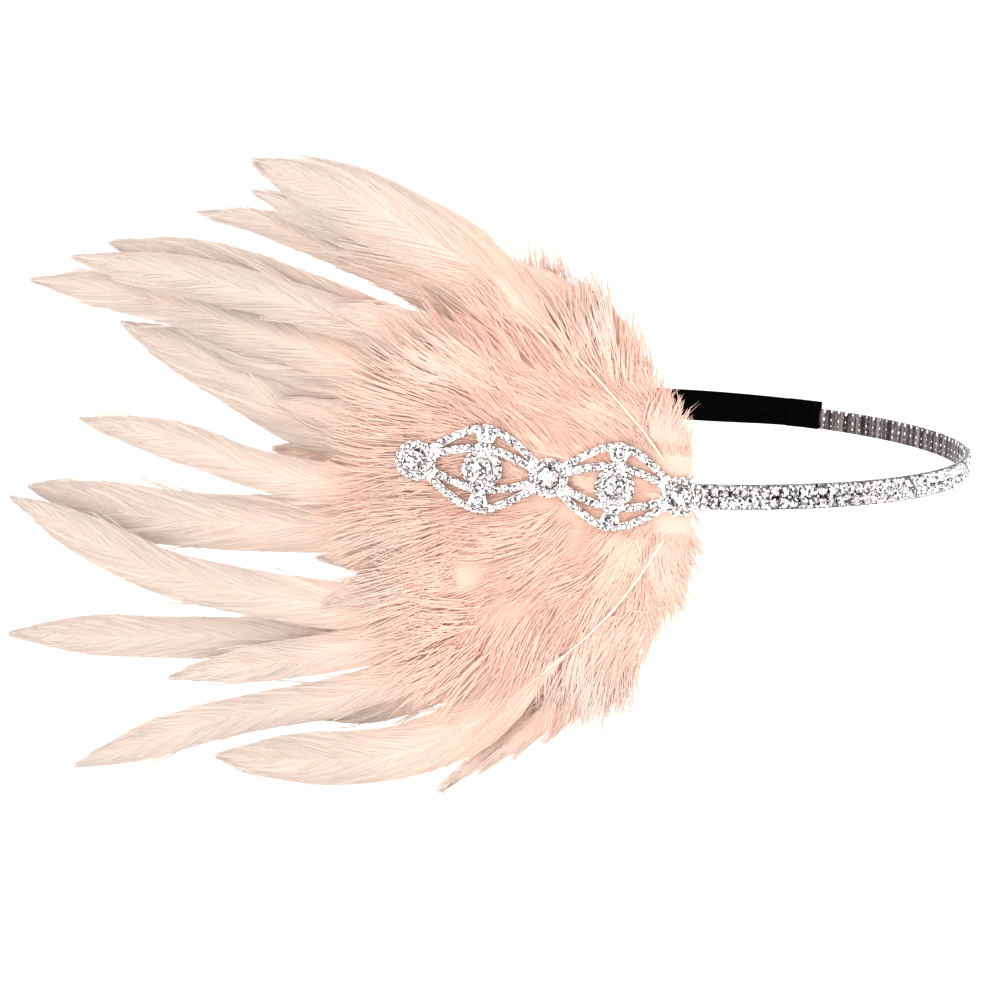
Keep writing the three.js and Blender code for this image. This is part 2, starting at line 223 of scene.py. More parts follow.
def shape_of(bm):
    mesh = bpy.data.meshes.new("shape")
    bm.to_mesh(mesh)
    bm.free()
    return mesh


def cut_stone(radius, rise, sides, girdle=0.3):
    """A brilliant from its girdle up: the hull of its girdle, its upper facets' corners and its table."""
    bm = bmesh.new()
    rings = [(0.94, 0.0, 0.0, sides), (1.0, 0.5 * girdle, 0.0, sides), (1.0, girdle, 0.0, sides),
             (0.8, girdle + 0.6 * (rise - girdle), 0.5, sides // 2 * 2), (0.54, rise, 0.0, sides)]
    for share, z, turn, count in rings:
        for i in range(count):
            angle = math.tau * (i + turn) / count
            bm.verts.new((radius * share * math.cos(angle), radius * share * math.sin(angle), z))
    bmesh.ops.convex_hull(bm, input=bm.verts)
    loose = [vert for vert in bm.verts if not vert.link_faces]
    bmesh.ops.delete(bm, geom=loose, context="VERTS")
    bmesh.ops.dissolve_limit(bm, angle_limit=math.radians(1), verts=bm.verts, edges=bm.edges)
    bmesh.ops.recalc_face_normals(bm, faces=bm.faces)
    return shape_of(bm)


# Foil-backed cut crystal, a near mirror under a clear coat. Its facets are cells of the size given. Their
# colours are painted reflections: most are painted white, some dark, a few with a trace of rose and blue,
# and each is darker along its edges. These stand in for the flashes and dark reflections that the cut
# throws.
def foiled_crystal(name, facet, dark_reflection_share):
    material = new_material(name)
    coords = add_node(material, "ShaderNodeTexCoord")
    cells = add_node(material, "ShaderNodeTexVoronoi", {"Scale": 1000 / facet, "Randomness": 1.0},
                     Vector=coords.outputs["Object"])
    parts = add_node(material, "ShaderNodeSeparateColor", Color=cells.outputs["Color"])
    # Painted reflections: each facet cell gets a fixed white, grey, dark, rose or blue flash.
    painted_reflection_stops = ((0, "#524C4E"), (dark_reflection_share, "#B4AFB0"), (dark_reflection_share + 0.14, "#FFFFFF"),
               (0.8, "#FFF1F3"), (0.88, "#F0F5FF"), (0.95, "#FFFFFF"))
    tone = add_node(material, "ShaderNodeValToRGB", {"stops": painted_reflection_stops}, Fac=parts.outputs["Red"])
    tone.color_ramp.interpolation = "CONSTANT"
    rims = add_node(material, "ShaderNodeTexVoronoi",
                    {"feature": "DISTANCE_TO_EDGE", "Scale": 1000 / facet, "Randomness": 1.0},
                    Vector=coords.outputs["Object"])
    # Painted shade: a dark line along each facet's edge.
    painted_edge_darkening = add_node(material, "ShaderNodeValToRGB", {"stops": ((0.02, "#484244"), (0.11, "#FFFFFF"))},
                        Fac=rims.outputs["Distance"])
    painted_reflection_colour = add_node(material, "ShaderNodeMix", {"data_type": "RGBA", "blend_type": "MULTIPLY", 0: 1.0},
                     i6=tone.outputs["Color"], i7=painted_edge_darkening.outputs["Color"])
    centred = add_node(material, "ShaderNodeVectorMath", {"operation": "SUBTRACT", 1: (0.5, 0.5, 0.5)},
                       i0=cells.outputs["Color"])
    swing = add_node(material, "ShaderNodeVectorMath", {"operation": "SCALE", "Scale": 0.9},
                     i0=centred.outputs[0])
    shape = add_node(material, "ShaderNodeNewGeometry")
    tilted = add_node(material, "ShaderNodeVectorMath", {"operation": "ADD"},
                      i0=shape.outputs["Normal"], i1=swing.outputs[0])
    facing = add_node(material, "ShaderNodeVectorMath", {"operation": "NORMALIZE"}, i0=tilted.outputs[0])
    surface = add_node(material, "ShaderNodeBsdfPrincipled",
                       {"Metallic": 0.9, "Roughness": 0.04, "Coat Weight": 0.6, "Coat Roughness": 0.02},
                       Base_Color=painted_reflection_colour.outputs[2], Normal=facing.outputs[0])
    return finish_material(material, surface.outputs[0])


# Bright plated brass of the cups and claws: warm silver, with soft worn patches of roughness.
def plated_metal(name, high, low, patch, rough):
    material = new_material(name)
    coords = add_node(material, "ShaderNodeTexCoord")
    patches = add_node(material, "ShaderNodeTexNoise", {"Scale": 1000 / patch, "Detail": 4.0},
                       Vector=coords.outputs["Object"])
    tone = add_node(material, "ShaderNodeValToRGB", {"stops": ((0.35, low), (0.62, high))},
                    Fac=patches.outputs["Fac"])
    wear = add_node(material, "ShaderNodeMapRange",
                    {"To Min": rough[0], "To Max": rough[1]}, Value=patches.outputs["Fac"])
    pits = add_node(material, "ShaderNodeBump", {"Strength": 0.25, "Distance": 0.00005},
                    Height=patches.outputs["Fac"])
    surface = add_node(material, "ShaderNodeBsdfPrincipled", {"Metallic": 1.0},
                       Base_Color=tone.outputs["Color"], Roughness=wear.outputs["Result"],
                       Normal=pits.outputs["Normal"])
    return finish_material(material, surface.outputs[0])


band_crystal = foiled_crystal("foiled_band_crystal", 0.75, 0.24)
cup_plating = plated_metal("plated_brass_cups", "#F7F3F1", "#B5AEAE", 1.6, (0.16, 0.36))

# Tarnished brass mesh: dark grey-brown with a fine grime. Its lighter and darker bands across the strip are
# painted reflections. The strip's length in millimetres is stored on it as "along_mm".
mesh_plating = new_material("tarnished_mesh")
along = add_node(mesh_plating, "ShaderNodeAttribute", {"attribute_name": "along_mm"})
coords = add_node(mesh_plating, "ShaderNodeTexCoord")
# Painted reflections: wide lighter and darker bands that change along the strip's length.
painted_reflection_bands = add_node(mesh_plating, "ShaderNodeTexNoise",
                   {"noise_dimensions": "1D", "Scale": 0.45, "Detail": 3.0, "Roughness": 0.65},
                   W=along.outputs["Fac"])
grime = add_node(mesh_plating, "ShaderNodeTexNoise", {"Scale": 900.0, "Detail": 2.0},
                 Vector=coords.outputs["Object"])
grime_and_painted_reflections = add_node(mesh_plating, "ShaderNodeMath", {"operation": "MULTIPLY_ADD", 1: 0.35},
                 i0=grime.outputs["Fac"], i2=painted_reflection_bands.outputs["Fac"])
tone = add_node(mesh_plating, "ShaderNodeValToRGB", {"stops": ((0.58, "#332C2E"), (0.98, "#A39A9B"))},
                Fac=grime_and_painted_reflections.outputs[0])
rough = add_node(mesh_plating, "ShaderNodeMapRange", {"To Min": 0.35, "To Max": 0.6},
                 Value=grime.outputs["Fac"])
surface = add_node(mesh_plating, "ShaderNodeBsdfPrincipled", {"Metallic": 1.0},
                   Base_Color=tone.outputs["Color"], Roughness=rough.outputs["Result"])
finish_material(mesh_plating, surface.outputs[0])

chance = random.Random(7)


def lean(most):
    """A small tilt by chance, as of a stone set by hand."""
    return Matrix.Rotation(chance.uniform(-most, most), 4, "X") @ Matrix.Rotation(
        chance.uniform(-most, most), 4, "Y")


def claws_round(place, count, start, reach, grow=1.0):
    """Where the claws of a stone stand, each turned towards it."""
    return [Matrix.Translation(place) @ Matrix.Rotation(start + math.tau * i / count, 4, "Z")
            @ Matrix.Translation((reach, 0, 0)) @ Matrix.Scale(grow, 4) for i in range(count)]


columns = round(band_length / stone_pitch)
pitch = band_length / columns
seats = [(strap_to + pitch * (column + 0.5), row * row_offset)
         for column in range(columns) for row in (-1, 1)]

bm = bmesh.new()
stone = cut_stone(stone_radius, stone_rise, 8)
places = []
for x, y in seats:
    tilt = lean(0.07)
    turn = Matrix.Rotation(chance.uniform(0, math.tau), 4, "Z")
    places.append(Matrix.Translation((x, y, 0)) @ tilt @ Matrix.Diagonal((1.06, 1.29, 1, 1)) @ turn)
place_copies(bm, stone, places)
places = []
for column in range(1, columns):
    for y in (-2.85, 0, 2.85):
        turn = Matrix.Rotation(chance.uniform(0, 3), 4, "Z")
        places.append(Matrix.Translation((strap_to + pitch * column, y, 0.1)) @ turn)
filling = cut_stone(0.62, 0.85, 6)
place_copies(bm, filling, places)
bend_round_head(bm)
band_stones = new_piece("band_crystals", bm, band_crystal)

# A cup is a small box, rounded at its corners and sunk at its top; each claw is a bent peg.
bm = bmesh.new()
bmesh.ops.create_cube(bm, size=1, matrix=Matrix.Diagonal((pitch - 0.08, 2 * row_offset - 0.1, 0.7, 1)))
upright = [e for e in bm.edges if abs(e.verts[0].co.z - e.verts[1].co.z) > 0.5]
bmesh.ops.bevel(bm, geom=upright, offset=0.7, affect="EDGES", segments=2, profile=0.5, material=-1)
top = [f for f in bm.faces if f.normal.z > 0.9]
bmesh.ops.inset_region(bm, faces=top, thickness=0.16, depth=0)
bmesh.ops.translate(bm, vec=(0, 0, -0.25), verts=list({v for f in top for v in f.verts}))
bmesh.ops.translate(bm, vec=(0, 0, -0.1), verts=bm.verts)
cup = shape_of(bm)

bm = bmesh.new()
bmesh.ops.create_cone(bm, cap_ends=True, segments=4, radius1=0.3, radius2=0.2, depth=0.8)
for vert in bm.verts:
    vert.co.x -= max(0.0, vert.co.z) * 0.75
claw = shape_of(bm)

bm = bmesh.new()
place_copies(bm, cup, [Matrix.Translation((x, y, 0)) for x, y in seats])
claws = []
for x, y in seats:
    claws += claws_round((x, y, claw_level), 4, math.radians(45), stone_radius)
place_copies(bm, claw, claws)
bend_round_head(bm)
band_cups = new_piece("band_cups", bm, cup_plating)

# Mesh strip: a thin dark strip behind the cups, a wire along each edge, and on its inner face the
# small bright beads of solder at the cups' corners.
bm = bmesh.new()
bmesh.ops.create_grid(bm, x_segments=2 * columns, y_segments=4, size=0.5)
for vert in bm.verts:
    vert.co = Vector((strap_to + (vert.co.x + 0.5) * band_length, vert.co.y * (band_height - 0.6),
                      mesh_level))
    vert.co.z -= 0.1 * (0.5 - 0.5 * math.cos(math.tau * (vert.co.x - strap_to) / pitch))
bmesh.ops.solidify(bm, geom=bm.faces[:], thickness=0.22)
for side in (-1, 1):
    made = bmesh.ops.create_grid(bm, x_segments=columns, y_segments=1, size=0.5)
    for vert in made["verts"]:
        vert.co = Vector((strap_to + (vert.co.x + 0.5) * band_length,
                          side * (band_height / 2 - 0.1) + vert.co.y * 0.2, -0.65))
    strip = list({f for v in made["verts"] for f in v.link_faces})
    raised = bmesh.ops.extrude_face_region(bm, geom=strip)
    bmesh.ops.translate(bm, vec=(0, 0, 0.85),
                        verts=[g for g in raised["geom"] if isinstance(g, bmesh.types.BMVert)])
bmesh.ops.recalc_face_normals(bm, faces=bm.faces)
along_mm = bm.verts.layers.float.new("along_mm")
for vert in bm.verts:
    vert[along_mm] = vert.co.x
bend_round_head(bm)
band_mesh = new_piece("band_mesh", bm, mesh_plating)

bm = bmesh.new()
bmesh.ops.create_icosphere(bm, subdivisions=1, radius=0.5)
bead = shape_of(bm)
bm = bmesh.new()
beads = []
for column in range(columns):
    for y, size in ((3.0, 1.15), (0.1, 0.95), (-1.9, 0.6)):
        from_end = min(column, columns - 1 - column) * pitch
        grow = size * chance.uniform(0.45, 1.3) * (1 + 0.6 * math.exp(-from_end / 14))
        beads.append(Matrix.Translation((strap_to + pitch * (column + 0.5), y + chance.uniform(-0.15, 0.15),
                                         -0.86)) @ Matrix.Diagonal((0.75 * grow, 1.15 * grow, 0.55, 1)))
place_copies(bm, bead, beads)
bend_round_head(bm)
solder = plated_metal("bright_solder", "#FFFFFF", "#E2DEDF", 1.2, (0.12, 0.3))
band_beads = new_piece("band_solder_beads", bm, solder, smooth=True)

# Bare tabs at the band's two ends, which the elastic's hems hold.
bm = bmesh.new()
for start in (strap_to - tab_length, strap_to + band_length - tab_hidden):
    made = bmesh.ops.create_cube(bm, size=1)
    for vert in made["verts"]:
        vert.co = Vector((start + (vert.co.x + 0.5) * (tab_length + tab_hidden), vert.co.y * tab_height,
                          -0.5 + vert.co.z * 0.8))
bmesh.ops.bevel(bm, geom=bm.edges[:], offset=0.15, affect="EDGES", segments=2, profile=0.5, material=-1)
long_edges = [e for e in bm.edges if abs(e.verts[0].co.x - e.verts[1].co.x) > 3]
bmesh.ops.subdivide_edges(bm, edges=long_edges, cuts=3)
bend_round_head(bm)
band_tabs = new_piece("band_tabs", bm, mesh_plating)
for piece in (band_stones, band_cups, band_mesh, band_beads, band_tabs):
    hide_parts("rhinestone_band")
    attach(piece, "root")

# Elastic: a matte black woven strap across the back of the head. Each end is folded over the
# band's tab, pressed flat and sewn with black thread.
strap_height = 10.3
strap_cloth = 1.0
strap_bottom = -band_height / 2
hem_length = 12.3
hem_starts = (strap_from + 0.3, strap_to - 0.3 - hem_length)
strap_inset = 9.5
rib_pitch = 0.85

# Woven elastic, rubber cores under cotton: near black, with fine lengthwise ribs crossed by the
# weft. Pattern coordinates are the strap's own flat millimetres.
elastic = new_material("woven_black_elastic")
flat = add_node(elastic, "ShaderNodeAttribute", {"attribute_name": "flat_mm"})
axes = add_node(elastic, "ShaderNodeSeparateXYZ", Vector=flat.outputs["Vector"])
ribs = add_node(elastic, "ShaderNodeMath", {"operation": "MULTIPLY", 1: math.tau / rib_pitch},
                i0=axes.outputs["Y"])
rib_wave = add_node(elastic, "ShaderNodeMath", {"operation": "SINE"}, i0=ribs.outputs[0])
weft = add_node(elastic, "ShaderNodeMath", {"operation": "MULTIPLY", 1: math.tau / 0.6},
                i0=axes.outputs["X"])
weft_wave = add_node(elastic, "ShaderNodeMath", {"operation": "SINE"}, i0=weft.outputs[0])
woven = add_node(elastic, "ShaderNodeMath", {"operation": "MULTIPLY_ADD", 1: 0.4},
                 i0=weft_wave.outputs[0], i2=rib_wave.outputs[0])
relief = add_node(elastic, "ShaderNodeBump", {"Strength": 0.5, "Distance": 0.00012},
                  Height=woven.outputs[0])
fuzz = add_node(elastic, "ShaderNodeTexNoise", {"Scale": 0.9, "Detail": 4.0}, Vector=flat.outputs["Vector"])
black = add_node(elastic, "ShaderNodeValToRGB", {"stops": ((0, "#010101"), (1, "#040404"))},
                 Fac=fuzz.outputs["Fac"])
surface = add_node(elastic, "ShaderNodeBsdfPrincipled",
                   {"Roughness": 0.95, "Specular IOR Level": 0.02},
                   Base_Color=black.outputs["Color"], Normal=relief.outputs["Normal"])
finish_material(elastic, surface.outputs[0])


def ease(value, start, end):
    share = min(1.0, max(0.0, (value - start) / (end - start)))
    return share * share * (3 - 2 * share)


def add_strip(bm, start, end, low, high, inner, outer, cuts):
    """A flat slab laid along the strap, rounded at its edges, cut for bending."""
    made = bmesh.ops.create_cube(bm, size=1)
    slab = made["verts"]
    for vert in slab:
        vert.co = Vector((start + (vert.co.x + 0.5) * (end - start), low + (vert.co.y + 0.5) * (high - low),
                          inner + (vert.co.z + 0.5) * (outer - inner)))
    faces = {f for v in slab for f in v.link_faces}
    edges = list({e for f in faces for e in f.edges})
    made = bmesh.ops.bevel(bm, geom=edges, offset=0.3, affect="EDGES", segments=2, profile=0.5, material=-1)
    slab = {v for f in made["faces"] for v in f.verts}
    edges = {e for v in slab for e in v.link_edges}
    along = [e for e in edges if abs(e.verts[0].co.x - e.verts[1].co.x) > 0.8 * (end - start)]
    bmesh.ops.subdivide_edges(bm, edges=along, cuts=cuts, use_grid_fill=True)


bm = bmesh.new()
add_strip(bm, strap_from + strap_inset, strap_to - strap_inset, strap_bottom, strap_bottom + strap_height,
          -0.5 - strap_cloth / 2, -0.5 + strap_cloth / 2, 60)
for start in hem_starts:
    for inner, outer in ((-1.8, -1.0), (0.0, 0.8)):
        add_strip(bm, start, start + hem_length, strap_bottom, strap_bottom + strap_height,
                  inner, outer, 8)
flat_mm = bm.verts.layers.float_vector.new("flat_mm")
for vert in bm.verts:
    vert[flat_mm] = vert.co
    spare = ease(min(vert.co.x - strap_from, strap_to - vert.co.x), 4, 45)
    low, high = strap_bottom - 0.15 - 1.35 * spare, strap_bottom + strap_height - 1.0 + 0.1 * spare
    vert.co.y = low + (high - low) * (vert.co.y - strap_bottom) / strap_height
bend_round_head(bm)
strap = new_piece("elastic_webbing", bm, elastic, smooth=True)

# Two lines of backstitch close each hem: short slightly sunk pegs of glossy black thread.
bm = bmesh.new()
for start in hem_starts:
    for x in (start + 1.6, start + hem_length - 1.6):
        for step in range(5):
            for out in (-1.8, 0.8):
                made = bmesh.ops.create_cube(bm, size=1)
                for vert in made["verts"]:
                    y = strap_bottom + 1.2 + step * 1.7 + vert.co.y * 1.3
                    vert.co = Vector((x + vert.co.x * 0.4, y, out + vert.co.z * 0.3))
bmesh.ops.bevel(bm, geom=bm.edges[:], offset=0.1, affect="EDGES", segments=1, profile=0.5, material=-1)
bend_round_head(bm)
thread = new_material("black_thread")
coords = add_node(thread, "ShaderNodeTexCoord")
twist = add_node(thread, "ShaderNodeTexWave", {"Scale": 1600.0, "bands_direction": "DIAGONAL"},
                 Vector=coords.outputs["Object"])
relief = add_node(thread, "ShaderNodeBump", {"Strength": 0.4, "Distance": 0.00008},
                  Height=twist.outputs["Fac"])
surface = add_node(thread, "ShaderNodeBsdfPrincipled",
                   {"Base Color": linear("#020202"), "Roughness": 0.6, "Specular IOR Level": 0.04},
                   Normal=relief.outputs["Normal"])
finish_material(thread, surface.outputs[0])
stitches = new_piece("elastic_stitches", bm, thread)
for piece in (strap, stitches):
    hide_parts("elastic_strap")
    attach(piece, "root")

# Applique: cast white metal, silver plated and pierced, in five clusters joined by two lozenges of
# strands. It lies on the plume, its first cluster over the band.
clusters = range(5)
lozenge_clusters = (1, 3)
cluster_pitch = 18.15
halo_radius = 5.5
halo_wall = 2.0
strand_rise = 1.5
outer_peak = 11.5
inner_peak = 5.9
strand_round = 1.6
accent_offset = 9.4
plate_place = Vector((17.8, -76.99, 1.3))
applique_frame = (
    Matrix.Translation(plate_place)
    @ Matrix.Rotation(math.radians(8), 4, "Z")
    @ Matrix.Rotation(math.radians(90), 4, "X")
    @ Matrix.Rotation(math.radians(-6.2), 4, "Z")
)
onto_plume = Matrix.Scale(mm, 4) @ applique_frame

# Silver plate over a casting: bright and a little grainy, darker where the polish doesn't reach.
silver = plated_metal("silver_plated_casting", "#F0ECEA", "#A8A1A0", 1.3, (0.14, 0.34))
setting = nodes["applique_setting"]
for material_slot in setting.material_slots:
    material_slot.material = silver

# Small stones of 2 mm, each in a claw cup: a ring of fourteen round each cluster, and a row along
# each strand and each link between strands.
small_radius = 1.08
small_pitch = 2.08
spots = []


def add_spot(x, y, space=1.7):
    if all((x - a) ** 2 + (y - b) ** 2 > space**2 for a, b in spots):
        spots.append((x, y))


for cluster in clusters:
    for i in range(14):
        angle = math.tau * (i + 0.25 * cluster) / 14
        add_spot(-cluster * cluster_pitch + 4.5 * math.cos(angle), 4.5 * math.sin(angle))
for y in (-2.1, 0, 2.1):
    add_spot(6.4, y)
for cluster in lozenge_clusters:
    for side in (1, -1):
        for x in (-1.1, 1.1):
            add_spot(-cluster * cluster_pitch + x, side * 6.6, 1.6)
        for peak in (outer_peak, inner_peak):
            line = []
            for i in range(401):
                share = i / 200 - 1
                height = peak * (1 - abs(share) ** strand_round)
                line.append(Vector((-cluster * cluster_pitch + share * cluster_pitch, side * height)))
            length = sum((b - a).length for a, b in zip(line, line[1:]))
            count = round(length / small_pitch)
            run, wanted = 0.0, 0
            for a, b in zip(line, line[1:]):
                run += (b - a).length
                if run >= (wanted + 0.5) * length / count:
                    wanted += 1
                    in_ring = min(math.hypot(b.x + c * cluster_pitch, b.y) for c in clusters) < 5.6
                    if not in_ring:
                        add_spot(b.x, b.y)

bm = bmesh.new()
stone = cut_stone(small_radius, 0.75, 6, 0.2)
places = []
spots = [(x + chance.uniform(-0.22, 0.22), y + chance.uniform(-0.22, 0.22)) for x, y in spots]
for x, y in spots:
    tilt = lean(0.2)
    turn = Matrix.Rotation(chance.uniform(0, math.tau), 4, "Z")
    grow = chance.uniform(0.88, 1.12)
    places.append(Matrix.Translation((x, y, strand_rise + 0.25)) @ tilt @ turn
                  @ Matrix.Diagonal((grow, grow, 1, 1)))
place_copies(bm, stone, places)
bmesh.ops.transform(bm, matrix=onto_plume, verts=bm.verts)
small_crystal = foiled_crystal("foiled_small_crystal", 0.62, 0.2)
small_stones = new_piece("applique_small_stones", bm, small_crystal)

bm = bmesh.new()
bmesh.ops.create_cone(bm, cap_ends=True, segments=8, radius1=0.9, radius2=1.04, depth=0.6)
top = [f for f in bm.faces if f.normal.z > 0.9]
bmesh.ops.inset_region(bm, faces=top, thickness=0.1, depth=0)
bmesh.ops.translate(bm, vec=(0, 0, -0.2), verts=list({v for f in top for v in f.verts}))
small_cup = shape_of(bm)
bm = bmesh.new()
bmesh.ops.create_cone(bm, cap_ends=True, segments=4, radius1=0.2, radius2=0.11, depth=0.55)
for vert in bm.verts:
    vert.co.x -= max(0.0, vert.co.z) * 0.8
small_claw = shape_of(bm)
bm = bmesh.new()
place_copies(bm, small_cup, [Matrix.Translation((x, y, strand_rise + 0.22)) for x, y in spots])
claws = []
for x, y in spots:
    claws += claws_round((x, y, strand_rise + claw_level), 4, chance.uniform(0, math.tau), small_radius)
place_copies(bm, small_claw, claws)
bmesh.ops.transform(bm, matrix=onto_plume, verts=bm.verts)
small_cups = new_piece("applique_small_cups", bm, silver)
for piece in (small_stones, small_cups):
    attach(piece, "root")

# Main and accent stones: larger foiled brilliants, each sunk in the seat of the casting and held
# by claws bent over its edge.
plate_thickness = 0.8
seat_level = plate_thickness + 0.3
main_crystal = foiled_crystal("foiled_main_crystal", 0.75, 0.22)
main_radius = halo_radius - halo_wall - 0.3
accent_radius = 1.7
bm = bmesh.new()
stone = cut_stone(main_radius, 2.1, 16, 0.7)
place_copies(bm, stone, [Matrix.Translation((-c * cluster_pitch, 0, seat_level))
                         @ Matrix.Rotation(0.2 + c, 4, "Z") for c in clusters])
bmesh.ops.transform(bm, matrix=onto_plume, verts=bm.verts)
main_stones = new_piece("cluster_brilliants", bm, main_crystal)
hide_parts(*[f"cluster_stone_{c}" for c in range(1, 6)])

bm = bmesh.new()
stone = cut_stone(accent_radius, 1.5, 8, 0.5)
place_copies(bm, stone, [Matrix.Translation((-c * cluster_pitch, side * accent_offset, seat_level))
                         @ Matrix.Rotation(0.3 + c, 4, "Z") for c in lozenge_clusters for side in (1, -1)])
bmesh.ops.transform(bm, matrix=onto_plume, verts=bm.verts)
accent_stones = new_piece("accent_brilliants", bm, main_crystal)
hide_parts(*[f"accent_stone_{pair}_{place}" for pair in (1, 2)
                             for place in ("upper", "lower")])

bm = bmesh.new()
claws = []
for c in clusters:
    claws += claws_round((-c * cluster_pitch, 0, 1.9), 8, math.tau / 16, main_radius + 0.12, 1.5)
for c in lozenge_clusters:
    for side in (1, -1):
        claws += claws_round((-c * cluster_pitch, side * accent_offset, 1.75), 4, math.tau / 8,
                             accent_radius + 0.1, 1.3)
place_copies(bm, small_claw, claws)
bmesh.ops.transform(bm, matrix=onto_plume, verts=bm.verts)
stone_claws = new_piece("brilliant_claws", bm, silver)
for piece in (main_stones, accent_stones, stone_claws):
    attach(piece, "root")

# Plume: dyed cock hackles with down at their roots, bound at the quills in a flat knot that is
# glued to the band. The feathers fan backwards on one side of the head, in layers.
root_x = 17.8
plume_back = 75.3
plume_reach = 200.0
swell_height = 11.0
swell_slope = 14.0
plate_inverse = applique_frame.inverted()
plate_normal = applique_frame.to_3x3() @ Vector((0, 0, 1))
plate_origin = applique_frame @ Vector((0, 0, -0.3))
plate_half_length = 2 * cluster_pitch + halo_radius
plate_half_height = outer_peak + 1.0


def plume_front(x, z):
    """How far out the plume's front is: the applique's back, with the down swelling up round it."""
    along = plate_normal.x * (x - plate_origin.x) + plate_normal.z * (z - plate_origin.z)
    flat = max(along / plate_normal.y - plate_origin.y, plume_back)
    local = plate_inverse @ Vector((x, -flat, z))
    beyond_x = max(0.0, abs(local.x + plate_half_length - halo_radius) - plate_half_length)
    beyond_y = max(0.0, abs(local.y) - plate_half_height)
    swell = 1 - math.exp(-math.hypot(beyond_x, beyond_y) / swell_slope)
    fade = 1 - ease(root_x - x, 0.3 * plume_reach, 0.7 * plume_reach)
    return flat + swell_height * swell * fade


def curve_through(points, count=64):
    """Evenly spaced points on a smooth line through the given x, z points, with its length."""
    ends = [points[0] * 2 - points[1], *points, points[-1] * 2 - points[-2]]
    fine = []
    for i in range(len(points) - 1):
        a, b, c, d = ends[i : i + 4]
        for step in range(24):
            t = step / 24
            fine.append(0.5 * (2 * b + (c - a) * t + (2 * a - 5 * b + 4 * c - d) * t**2
                               + (3 * b - a - 3 * c + d) * t**3))
    fine.append(points[-1])
    arcs = [0.0]
    for a, b in zip(fine, fine[1:]):
        arcs.append(arcs[-1] + (b - a).length)
    line, at = [], 0
    for i in range(count + 1):
        wanted = arcs[-1] * i / count
        while at < len(arcs) - 2 and arcs[at + 1] < wanted:
            at += 1
        share = (wanted - arcs[at]) / max(1e-9, arcs[at + 1] - arcs[at])
        line.append(fine[at].lerp(fine[at + 1], share))
    return line, arcs[-1]


class Feather:
    """A feather's own coordinates: s runs from root to tip and v from the shaft to a vane's edge."""

    def __init__(self, points, width, layers, bare=0.1, blunt=32.0, camber=0.12, twist=0.0, ripple=0.0,
                 tone=0.0, slant=1.0, seed=0):
        self.line, self.length = curve_through([Vector(p) for p in points])
        self.width, self.layers, self.bare, self.blunt = width, layers, bare, blunt
        self.camber, self.twist, self.ripple = camber, twist, ripple
        self.tone, self.slant, self.seed = tone, slant, seed

    def half(self, s):
        tip = min(1.0, max(0.0, (1 - s) * self.length / self.blunt))
        base = ease(s, self.bare - 0.06, self.bare + 0.16)
        return 0.5 * self.width * math.sin(tip * math.pi / 2) * (0.15 + 0.85 * base)

    def place(self, s, v):
        """The point at s and v, as x, z and distance out, in millimetres."""
        steps = len(self.line) - 1
        at = min(steps - 1, max(0, int(s * steps)))
        share = s * steps - at
        centre = self.line[at].lerp(self.line[at + 1], share)
        before, after = self.line[max(0, at - 1)], self.line[min(steps, at + 2)]
        along = (after - before).normalized()
        off = v * self.half(s)
        x, z = centre.x - along.y * off, centre.y + along.x * off
        front = plume_front(x, z)
        layer = self.layers[0] + (self.layers[1] - self.layers[0]) * ease(s, 0.1, 0.9)
        out = plume_back + (front - plume_back) * layer
        out -= self.camber * off * off / max(2.0, 0.5 * self.width) + self.twist * off
        out += self.ripple * noise.noise(Vector((s * self.length / 16, v * 0.9, self.seed * 3.7)))
        return Vector((x, z, max(plume_back + 0.15, min(out, front - 0.1))))

    def barb_place(self, start, side, t, reach=1.0):
        """The point at share t along the barb that leaves the shaft at start."""
        ahead = min(self.slant * 0.5 * self.width / self.length, 0.92 * (1 - start))
        s = start + ahead * t
        return self.place(min(1.0, s), side * reach * (1.35 * t - 0.35 * t * t))

    def tone_at(self, place):
        away = (Vector((place.x, place.y)) - Vector((root_x, 0))).length
        return ease(away, 10, 150) + self.tone


def add_web(bm, feather, rows, cols, edge):
    """The closed part of the vane: a grid whose rows follow the barbs."""
    made = bmesh.ops.create_grid(bm, x_segments=rows, y_segments=2 * cols, size=0.5)
    tone, barb, out = (bm.verts.layers.float[name] for name in ("tone", "barb", "across"))
    for vert in made["verts"]:
        share = vert.co.x + 0.5
        start = feather.bare + (0.985 - feather.bare) * share
        side = 1 if vert.co.y >= 0 else -1
        t = abs(vert.co.y) * 2
        wander = noise.noise(Vector((share * feather.length / 24, side * 5.1, feather.seed * 1.3)))
        reach = edge + 0.08 * wander
        place = feather.barb_place(start, side, t * reach)
        vert[tone] = feather.tone_at(place) + 0.12 * t
        vert[barb] = start * feather.length + side * 500 + feather.seed * 37
        vert[out] = t
        vert.co = place


def draw_strand(bm, points):
    """Draws one barb, shaft or hair as a line of points, each with its place, tone and half width."""
    tone, half = (bm.verts.layers.float[name] for name in ("tone", "half"))
    before = None
    for place, shade, width in points:
        vert = bm.verts.new(place)
        vert[tone] = shade
        vert[half] = width
        if before:
            bm.edges.new((before, vert))
        before = vert


